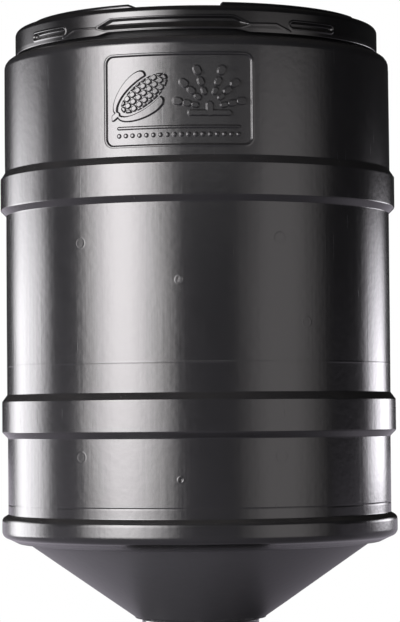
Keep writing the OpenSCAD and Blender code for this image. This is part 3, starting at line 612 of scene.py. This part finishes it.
def swept_strip(path_angles, path_r, path_z, width, height):
    """A low rounded ridge along a path on the wall, its edges just under the surface."""
    angles, radii, heights = (np.asarray(v, float) for v in (path_angles, path_r, path_z))
    spots = around(angles, radii, heights)
    forward = np.gradient(spots, axis=0)
    forward /= np.linalg.norm(forward, axis=1)[:, None]
    outward = spots * (1, 1, 0)
    outward /= np.linalg.norm(outward, axis=1)[:, None]
    side = np.cross(forward, outward)
    side /= np.linalg.norm(side, axis=1)[:, None]
    up = np.cross(side, forward)
    across = np.linspace(-1, 1, 7)
    lift = height * (1 - across ** 2) ** 0.8 - 0.06
    points = (spots[:, None, :] + side[:, None, :] * (across * width / 2)[None, :, None]
              + up[:, None, :] * lift[None, :, None])
    return points.reshape(-1, 3), grid_faces(len(spots), len(across))


def build_parting_lines():
    """The mould's parting line down each side of the barrel."""
    profile = filleted(HOPPER_OUTSIDE, support=1.2)
    profile = profile[(profile[:, 1] < 945) & (profile[:, 1] > 226) & (profile[:, 0] > 90)]
    parts = []
    for angle in (-90.0, 90.0):
        radius = profile[:, 0] + wobble(angle, profile[:, 1])
        parts.append(swept_strip(np.full(len(profile), angle), radius, profile[:, 1], 1.6, 0.3))
    points, faces = join_parts(parts)
    add_piece("parting_lines", points, faces, "hopper_plastic", "hopper")


def build_neck_thread():
    """The neck's thread, clear of the ring."""
    turns = np.arange(0, 540, 3.0)
    ends = np.minimum(smooth_step(0, 20, turns), smooth_step(540, 520, turns))
    heights = 971.5 + turns / 360 * 9
    points, faces = swept_strip(turns, NECK_R - 0.6 + 0.6 * ends, heights, 4.5, 1.9)
    add_piece("neck_thread", points, faces, "hopper_plastic", "hopper")


# ---------------------------------------------------------------- the screw ring

SKIRT_KNEE = 970.5
LUG_SHARE = {221.1: 0, 221.0: 0.34, 220.9: 0.68, 219.9: 1, 219.5: 1, 209.0: 1, 207.6: 0}
RING_PROFILE = [
    (232.3, RING_BOTTOM, 0.6), (RING_R - 0.3, RING_BOTTOM, 1.6), (RING_R, SKIRT_KNEE, 0),
    (RING_R, RING_TOP, 7.5), (221.6, RING_TOP, 0), *((radius, RING_TOP, 0) for radius in LUG_SHARE),
    (204.0, RING_TOP, 1.2), (204.0, 993.8, 0.5), (232.3, 993.8, 1.0),
]
GRIP_TIP_HEIGHT = 975.5
GRIP_REACH = 99.5
GRIP_ASIDE = -0.5
SLOT_HEIGHT = 977.0
LUG_RISE = 6.5
LUG_HALF = 31.4
SCALLOP_RISE = 3.4
SCALLOP_ENDS = (24.5, 19.5)


def grip_turn(angle):
    """The turn from the middle of the nearest grip recess."""
    return (angle - RING_CLOCK - GRIP_ASIDE + 90) % 180 - 90


def ring_skirt_relief(angle, height):
    """How far the ring's outer wall is pushed out: two grip recesses, four slots and a fine raised line."""
    x, y = np.abs(np.radians(grip_turn(angle)) * RING_R), height - GRIP_TIP_HEIGHT
    above = np.clip((GRIP_REACH - x) * 9.0 / 20, 0, 9.0) - y
    below = np.clip((GRIP_REACH - x) * 3.4 / 11, 0, 3.4) + y
    grip = np.minimum(above, below)
    relief = -6.0 * np.minimum(np.clip(above / 1.6, 0, 1), np.clip(below / 6.8, 0, 1))
    relief = relief + 0.5 * np.exp(-((grip + 0.8) / 0.7) ** 2) * (x < GRIP_REACH)
    slot_turn = (angle - RING_CLOCK) % 90 - 45
    slot = in_capsule(np.radians(slot_turn) * RING_R, height - SLOT_HEIGHT, (-31, 0), (31, 0), 4.2)
    relief = relief - 4.0 * np.clip(slot / 2.2, 0, 1) + 0.9 * np.exp(-((slot + 0.8) / 0.7) ** 2)
    knee, foot = (np.radians(a) * RING_R for a in (32.3, 37.0))
    line = np.maximum(in_capsule(x, y, (GRIP_REACH - 1, 0.2), (knee, 1.2), 0.0),
                      in_capsule(x, y, (knee, 1.2), (foot, -7.0), 0.0))
    return relief + 0.7 * np.exp(-(line / 0.7) ** 2)


def ring_top_relief(angle, radius):
    """Height of the turning lugs: each is steep at one end and ramps down at the other."""
    turn = angle % 90 - 45
    along = np.minimum(smooth_step(-LUG_HALF - 0.3, -LUG_HALF + 0.3, turn),
                       np.clip((LUG_HALF - turn) / 3.9, 0, 1))
    across = np.interp(radius, sorted(LUG_SHARE), [LUG_SHARE[r] for r in sorted(LUG_SHARE)])
    return LUG_RISE * along * across


def build_ring():
    """The screw ring as a fine lathe: relief pressed into its skirt, lugs raised, lower edge scalloped."""
    profile = filleted(RING_PROFILE, steps=14, support=0.8, longest=0.7)
    angles = np.arange(-180, 180, 0.25)
    angle, radius = np.meshgrid(angles, profile[:, 0])
    height = np.broadcast_to(profile[:, 1:], angle.shape)
    outer = smooth_step(RING_R - 3, RING_R - 1, radius)
    on_top = smooth_step(RING_TOP - 1.5, RING_TOP - 0.2, height)
    scallop = SCALLOP_RISE * smooth_step(*SCALLOP_ENDS, np.abs(grip_turn(angle)))
    skirt = smooth_step(SKIRT_KNEE, RING_BOTTOM, height)
    pushed = radius + outer * ring_skirt_relief(angle, height)
    raised = height + on_top * ring_top_relief(angle, radius) + skirt * scallop
    points = around(angle, pushed, raised)
    faces = grid_faces(len(profile), len(angles), True, True)[:, ::-1]
    ring = add_piece("screw_ring_moulding", points, faces, "lid_plastic", "screw_ring")
    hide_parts("lid_ring")


# ---------------------------------------------------------------- control panel trim

PANEL_FACE = -108.0
LCD_X, LCD_HEIGHT, LCD_HALF = -24.0, 126.0, (25.0, 12.0)
BUTTONS_X, ICON_HEIGHT = (-48.0, -22.0, 4.0, 30.0), 101.5
# Where each stroke of a seven-stroke digit lies: its place across and up, and whether it is upright
STROKES = {"a": (0, 1, False), "b": (1, 0.5, True), "c": (1, -0.5, True), "d": (0, -1, False),
           "e": (-1, -0.5, True), "f": (-1, 0.5, True), "g": (0, 0, False)}
DIGIT_STROKES = {0: "abcdef", 3: "abcdg", 6: "acdefg"}
DIGIT_HALF = (2.6, 5.6)
FLAT_HALF = (1.9, 0.55)
UPRIGHT_HALF = (0.55, 2.1)
SHOWN = {-15.5: 0, -6.5: 6, 6.5: 3, 15.5: 0}


def bar(x, height, half_w, half_h):
    """Corners of a flat bar with chamfered ends."""
    cut = 0.35 * min(half_w, half_h)
    return [(x - half_w, height + half_h - cut), (x - half_w + cut, height + half_h),
            (x + half_w - cut, height + half_h), (x + half_w, height + half_h - cut),
            (x + half_w, height - half_h + cut), (x + half_w - cut, height - half_h),
            (x - half_w + cut, height - half_h), (x - half_w, height - half_h + cut)]


def add_trim(name, outlines, slot, sunk, proud):
    """One piece of flat plates, sunk a little behind the panel's face and standing proud of it."""
    points, faces = [], []
    for outline in outlines:
        start, count = len(points), len(outline)
        front, back = range(start, start + count), range(start + count, start + 2 * count)
        points += [(x, PANEL_FACE + depth, z) for depth in (-proud, sunk) for x, z in outline]
        faces += [list(front)[::-1], list(back)]
        faces += [[front[i - 1], front[i], back[i], back[i - 1]] for i in range(count)]
    add_piece(name, points, faces, slot, "hopper", smooth=False)


def build_panel_trim():
    """The display's digits and frame, and a small raised sign above each button."""
    digits = []
    for place, digit in SHOWN.items():
        for stroke in DIGIT_STROKES[digit]:
            across, up, upright = STROKES[stroke]
            half = UPRIGHT_HALF if upright else FLAT_HALF
            digits.append(bar(LCD_X + place + DIGIT_HALF[0] * across, LCD_HEIGHT + DIGIT_HALF[1] * up, *half))
    digits += [bar(LCD_X, LCD_HEIGHT + side, 0.6, 0.6) for side in (-2.4, 2.4)]
    add_trim("display_digits", digits, "switch_black", 0.05, 0.15)
    half_w, half_h = LCD_HALF
    frame_bars = [bar(LCD_X, LCD_HEIGHT + side * (half_h + 1), half_w + 2, 0.9) for side in (-1, 1)]
    frame_bars += [bar(LCD_X + side * (half_w + 1.1), LCD_HEIGHT, 0.9, half_h + 0.1) for side in (-1, 1)]
    add_trim("display_frame", frame_bars, "switch_black", 0.2, 0.8)
    menu, minus, plus, test = BUTTONS_X
    signs = [bar(menu, ICON_HEIGHT + side, 2.6, 0.4) for side in (-1.5, 0, 1.5)]
    signs += [bar(minus, ICON_HEIGHT, 2.6, 0.5), bar(plus, ICON_HEIGHT, 2.6, 0.5)]
    signs += [bar(plus, ICON_HEIGHT + side * 1.55, 0.5, 1.05) for side in (-1, 1)]
    arrow = [(-1.8, -2.4), (-1.8, 2.4), (2.4, 0)]
    signs.append([(test + x, ICON_HEIGHT + height) for x, height in arrow])
    add_trim("button_signs", signs, "button_grey", 0.1, 0.2)


# ---------------------------------------------------------------- the parts that keep their CAD shape

EDGE_WIDTH = 0.3


def dress_cad_nodes():
    """Gives each CAD node its slot's material and soft edges."""
    slots = {part["node"]: part["material_slot"] for part in frame["record"]["subparts"]}
    for name, piece in frame["nodes"].items():
        piece.data.materials.clear()
        piece.data.materials.append(MATERIALS[slots[name]])
        piece.data.shade_smooth()
        weld = piece.modifiers.new("weld", "WELD")
        weld.merge_threshold = 0.01 * MM
        flats = piece.modifiers.new("flats", "DECIMATE")
        flats.decimate_type = "DISSOLVE"
        flats.angle_limit = math.radians(0.5)
        bevel = piece.modifiers.new("soft_edges", "BEVEL")
        bevel.limit_method = "ANGLE"
        bevel.angle_limit = math.radians(32)
        bevel.width = EDGE_WIDTH * MM
        bevel.segments = 2
        bevel.use_clamp_overlap = False
        bevel.miter_outer = "MITER_ARC"
        piece.modifiers.new("flat_faces", "WEIGHTED_NORMAL").weight = 50


# ---------------------------------------------------------------- studio

VIEW_ANGLE = 5.2
CAMERA_DISTANCE = 3.48
HORIZON = 0.486
FLOOR = -0.5


def dark_world():
    """White behind the object, and a dim room for what it reflects."""
    world = bpy.data.worlds.new("studio")
    bpy.context.scene.world = world
    world.use_nodes = True
    tree = world.node_tree
    tree.nodes.clear()
    seen = node(tree, "Background", Color=(1, 1, 1, 1), Strength=1.0)
    room = node(tree, "Background", Color=(1, 1, 1, 1), Strength=0.015)
    mixed = node(tree, "MixShader", i0=node(tree, "LightPath").outputs["Is Camera Ray"])
    tree.links.new(room.outputs[0], mixed.inputs[1])
    tree.links.new(seen.outputs[0], mixed.inputs[2])
    output = node(tree, "OutputWorld")
    tree.links.new(mixed.outputs[0], output.inputs["Surface"])


def trapezoid(tree, value, start, full, fall, end):
    """Rises from 0 at start to 1 at full, and falls from 1 at fall to 0 at end."""
    rise = remap(tree, value, start, full, 0.0, 1.0)
    drop = remap(tree, value, fall, end, 1.0, 0.0)
    return math_node(tree, "MULTIPLY", rise, drop)


def light_card(name, turns, heights, strength, colour, foot=1.0, distance=2.6):
    """A soft upright light, hidden from the camera.

    turns and heights each give the start, the first and last full point, and the end. The turns are
    counted from the camera's side, and the heights are in metres. foot is how bright the lower end
    is, beside the upper end.
    """
    angles = np.linspace(turns[0], turns[3], 13)
    levels = np.array([heights[0], heights[3]])
    points = around(angles[None, :] + VIEW_ANGLE, distance / MM, levels[:, None] / MM) * MM
    mesh = bpy.data.meshes.new(name)
    mesh.from_pydata(points.reshape(-1, 3).tolist(), [], grid_faces(2, len(angles)).tolist())
    layer = mesh.uv_layers.new(name="card")
    for loop in mesh.loops:
        row, column = divmod(loop.vertex_index, len(angles))
        layer.data[loop.index].uv = (angles[column], levels[row])
    card = bpy.data.objects.new(name, mesh)
    bpy.context.scene.collection.objects.link(card)
    card.visible_camera = False
    card.visible_shadow = False
    made, tree, _ = start_material(name)
    place = node(tree, "SeparateXYZ", i0=node(tree, "UVMap").outputs[0])
    across = trapezoid(tree, place.outputs[0], *turns)
    up = trapezoid(tree, place.outputs[1], *heights)
    lean = remap(tree, place.outputs[1], heights[0], heights[3], strength * foot, strength)
    glow = math_node(tree, "MULTIPLY", math_node(tree, "MULTIPLY", across, up), lean)
    end_material(tree, node(tree, "Emission", Color=shade(colour, 1.0), Strength=glow).outputs[0])
    mesh.materials.append(made)


def pale_floor():
    """A pale floor that keeps soft shadows close by, fades to white far off and is clear from below."""
    turns = np.arange(0, 360, 5.0)
    rings = np.array([0, 1, 2, 4, 8, 16, 60]) / MM
    points = around(turns[None, :], rings[:, None], FLOOR / MM) * MM
    mesh = bpy.data.meshes.new("floor")
    faces = grid_faces(len(rings), len(turns), close_columns=True)
    mesh.from_pydata(points.reshape(-1, 3).tolist(), [], faces.tolist())
    floor = bpy.data.objects.new("floor", mesh)
    bpy.context.scene.collection.objects.link(floor)
    made, tree, place = start_material("floor")
    away = node(tree, "VectorMath", {"operation": "LENGTH"}, i0=place).outputs["Value"]
    far = remap(tree, away, 0.7, 1.9, 0.0, 1.0)
    mottle = noise(tree, place, 6, 4)
    east, north, _ = (node(tree, "SeparateXYZ", i0=place).outputs[i] for i in range(3))
    shine = total(tree, remap(tree, away, 0.28, 0.52, 1.9, 0.30), remap(tree, east, -0.4, 0.2, 0.2, 0.0),
                  remap(tree, north, 0.4, 0.9, 0.0, 0.15))
    mirrored = node(tree, "Emission", Color=(1.0, 0.93, 1.06, 1), Strength=shine)
    seen = node(tree, "LightPath").outputs["Is Camera Ray"]
    pale = mix_colour(tree, mottle, (0.80, 0.80, 0.80, 1), (0.84, 0.84, 0.84, 1))
    ground = node(tree, "BsdfDiffuse", Color=pale)
    white = node(tree, "Emission", Color=(1, 1, 1, 1), Strength=1.0)
    faded = node(tree, "MixShader", i0=far, i1=ground.outputs[0], i2=white.outputs[0])
    mixed = node(tree, "MixShader", i0=seen, i1=mirrored.outputs[0], i2=faded.outputs[0])
    below = math_node(tree, "MULTIPLY", node(tree, "NewGeometry").outputs["Backfacing"], seen)
    gone = node(tree, "BsdfTransparent")
    open_below = node(tree, "MixShader", i0=below, i1=mixed.outputs[0], i2=gone.outputs[0])
    end_material(tree, open_below.outputs[0])
    mesh.materials.append(made)


def aim_camera():
    """The photograph's viewpoint: level with the lower hoop, far away, tipped up a little."""
    lens, pitch, roll, aside = 151.6, 2.324, -0.47, 0.0024
    data = bpy.data.cameras.new("camera")
    data.lens = lens
    data.clip_end = 200
    camera = bpy.data.objects.new("camera", data)
    bpy.context.scene.collection.objects.link(camera)
    bpy.context.scene.camera = camera
    spot = around(VIEW_ANGLE, CAMERA_DISTANCE, HORIZON)
    right = around(VIEW_ANGLE + 90, aside, 0.0)
    camera.location = spot + right
    camera.rotation_mode = "XYZ"
    turn = math.radians(VIEW_ANGLE)
    camera.rotation_euler = (math.radians(90 + pitch), 0.0, turn)
    camera.rotation_euler.rotate_axis("Z", math.radians(roll))


def build_studio():
    dark_world()
    pale_floor()
    light_card("card_behind_left", (-141, -125, -106, -92), (-0.45, -0.3, 0.75, 1.42), 8.5,
               (0.99, 0.97, 1.0))
    light_card("card_left", (-72, -48, -38, -10), (-0.45, 0.45, 1.9, 2.4), 22.0, (1.0, 0.97, 0.98), 0.75)
    light_card("card_fill", (-22, -8, 20, 36), (1.0, 1.1, 1.22, 1.29), 1.4, (1.0, 0.98, 0.97))
    light_card("card_right", (18, 38, 56, 80), (-0.45, -0.2, 1.15, 1.5), 1.65, (1.0, 0.95, 0.95))
    light_card("card_behind_right", (110, 122, 135, 146), (0.20, 0.37, 0.55, 1.0), 8.2, (0.97, 0.94, 1.0))
    settings = bpy.context.scene.view_settings
    settings.view_transform = "Standard"
    settings.look = "None"
    aim_camera()


# ---------------------------------------------------------------- build

build_hopper()
build_badge()
build_dimples()
build_marks()
build_parting_lines()
build_neck_thread()
build_ring()
build_panel_trim()
dress_cad_nodes()
build_studio()
